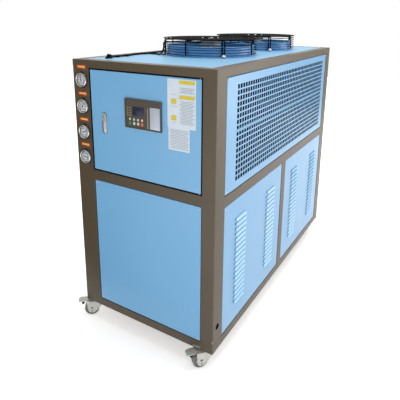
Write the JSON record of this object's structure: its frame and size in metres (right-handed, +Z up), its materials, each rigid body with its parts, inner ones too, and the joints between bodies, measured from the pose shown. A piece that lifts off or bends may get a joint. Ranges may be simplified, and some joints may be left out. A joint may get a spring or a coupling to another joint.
{
  "type": "air cooled water chiller",
  "caption": "Air cooled water chiller cabinet on swivel casters, with a control door, gauges, side condenser grilles, louvred panels and roof fans under wire guards.",
  "frame": {"origin": "on the floor under the centre of the cabinet's plan", "axes": "+Z up, the front with the control door faces -Y, +X to the right of the front"},
  "size_m": [0.7574, 1.5697, 1.328],
  "materials": {
    "frame_paint": "semi-gloss taupe powder coat",
    "panel_blue": "satin sky blue powder coat",
    "collar_blue": "satin mid blue paint",
    "black_wire": "black coated wire",
    "dark_metal": "dark grey paint",
    "zinc": "zinc plated",
    "chrome_trim": "polished",
    "aluminium_fins": "fin pack",
    "gauge_case": "bright bezel",
    "label_orange": "plain plate",
    "black_rubber": "cable sheath",
    "brass_fitting": "machined",
    "controller_brown": "moulded case",
    "grey_wheel": "grey tread"
  },
  "bodies": {
    "cabinet": {"base_frame": "frame_paint", "post_front_left": "frame_paint", "post_front_right": "frame_paint", "post_rear_left": "frame_paint", "post_rear_right": "frame_paint", "top_frame": "frame_paint", "mid_rails": "frame_paint", "side_stiles": "frame_paint", "lower_front_panel": "panel_blue", "right_grille": "panel_blue", "left_grille": "panel_blue", "right_louvre_panels": "panel_blue", "left_louvre_panels": "panel_blue", "rear_upper_panel": "panel_blue", "rear_lower_panel": "panel_blue", "top_panel": "panel_blue", "front_fan_collar": "collar_blue", "rear_fan_collar": "collar_blue", "front_fan_guard": "black_wire", "rear_fan_guard": "black_wire", "front_fan_motor": "dark_metal", "rear_fan_motor": "dark_metal", "control_box": "zinc", "mid_deck": "zinc", "hinge_pins": "zinc", "caster_plates": "zinc", "condenser_coils": "aluminium_fins", "pressure_gauges": "gauge_case", "gauge_plates": "label_orange", "lead_gland": "black_rubber", "fan_leads": "black_rubber", "water_outlet": "brass_fitting", "water_inlet": "brass_fitting", "tank_drain": "brass_fitting"},
    "door": {"control_door": "panel_blue", "controller": "controller_brown", "latch_case": "chrome_trim"},
    "latch": {"latch_paddle": "chrome_trim"},
    "front_rotor": {"front_fan_rotor": "dark_metal"},
    "rear_rotor": {"rear_fan_rotor": "dark_metal"},
    "front_left_caster": {"front_left_fork": "zinc"},
    "front_left_roller": {"front_left_wheel": "grey_wheel"},
    "front_left_brake": {"front_left_pedal": "zinc"},
    "front_right_caster": {"front_right_fork": "zinc"},
    "front_right_roller": {"front_right_wheel": "grey_wheel"},
    "front_right_brake": {"front_right_pedal": "zinc"},
    "rear_left_caster": {"rear_left_fork": "zinc"},
    "rear_left_roller": {"rear_left_wheel": "grey_wheel"},
    "rear_right_caster": {"rear_right_fork": "zinc"},
    "rear_right_roller": {"rear_right_wheel": "grey_wheel"}
  },
  "joints": [
    {"name": "door_hinge", "type": "hinge", "parent": "cabinet", "child": "door", "pos_m": [0.28, -0.7265, 0.99], "axis": [0, 0, 1], "range_deg": [0, 110]},
    {"name": "latch_lift", "type": "hinge", "parent": "door", "child": "latch", "pos_m": [-0.182, -0.7343, 0.9985], "axis": [-1, 0, 0], "range_deg": [0, 30]},
    {"name": "front_fan_spin", "type": "hinge", "parent": "cabinet", "child": "front_rotor", "pos_m": [0, -0.1695, 1.248], "axis": [0, 0, 1], "continuous": true},
    {"name": "rear_fan_spin", "type": "hinge", "parent": "cabinet", "child": "rear_rotor", "pos_m": [0, 0.3635, 1.248], "axis": [0, 0, 1], "continuous": true},
    {"name": "front_left_swivel", "type": "hinge", "parent": "cabinet", "child": "front_left_caster", "pos_m": [-0.308, -0.6905, 0.078], "axis": [0, 0, 1], "continuous": true},
    {"name": "front_left_roll", "type": "hinge", "parent": "front_left_caster", "child": "front_left_roller", "pos_m": [-0.33711, -0.71493, 0.035], "axis": [0.6428, -0.766, 0], "continuous": true},
    {"name": "front_left_brake_press", "type": "hinge", "parent": "front_left_caster", "child": "front_left_brake", "pos_m": [-0.34783, -0.72393, 0.068], "axis": [0.6428, -0.766, 0], "range_deg": [0, 10]},
    {"name": "front_right_swivel", "type": "hinge", "parent": "cabinet", "child": "front_right_caster", "pos_m": [0.308, -0.6905, 0.078], "axis": [0, 0, 1], "continuous": true},
    {"name": "front_right_roll", "type": "hinge", "parent": "front_right_caster", "child": "front_right_roller", "pos_m": [0.28513, -0.72085, 0.035], "axis": [0.7986, -0.6018, 0], "continuous": true},
    {"name": "front_right_brake_press", "type": "hinge", "parent": "front_right_caster", "child": "front_right_brake", "pos_m": [0.27671, -0.73203, 0.068], "axis": [0.7986, -0.6018, 0], "range_deg": [0, 10]},
    {"name": "rear_left_swivel", "type": "hinge", "parent": "cabinet", "child": "rear_left_caster", "pos_m": [-0.308, 0.6905, 0.078], "axis": [0, 0, 1], "continuous": true},
    {"name": "rear_left_roll", "type": "hinge", "parent": "rear_left_caster", "child": "rear_left_roller", "pos_m": [-0.33487, 0.66363, 0.035], "axis": [0.7071, -0.7071, 0], "continuous": true},
    {"name": "rear_right_swivel", "type": "hinge", "parent": "cabinet", "child": "rear_right_caster", "pos_m": [0.308, 0.6905, 0.078], "axis": [0, 0, 1], "continuous": true},
    {"name": "rear_right_roll", "type": "hinge", "parent": "rear_right_caster", "child": "rear_right_roller", "pos_m": [0.28113, 0.66363, 0.035], "axis": [0.7071, -0.7071, 0], "continuous": true}
  ]
}
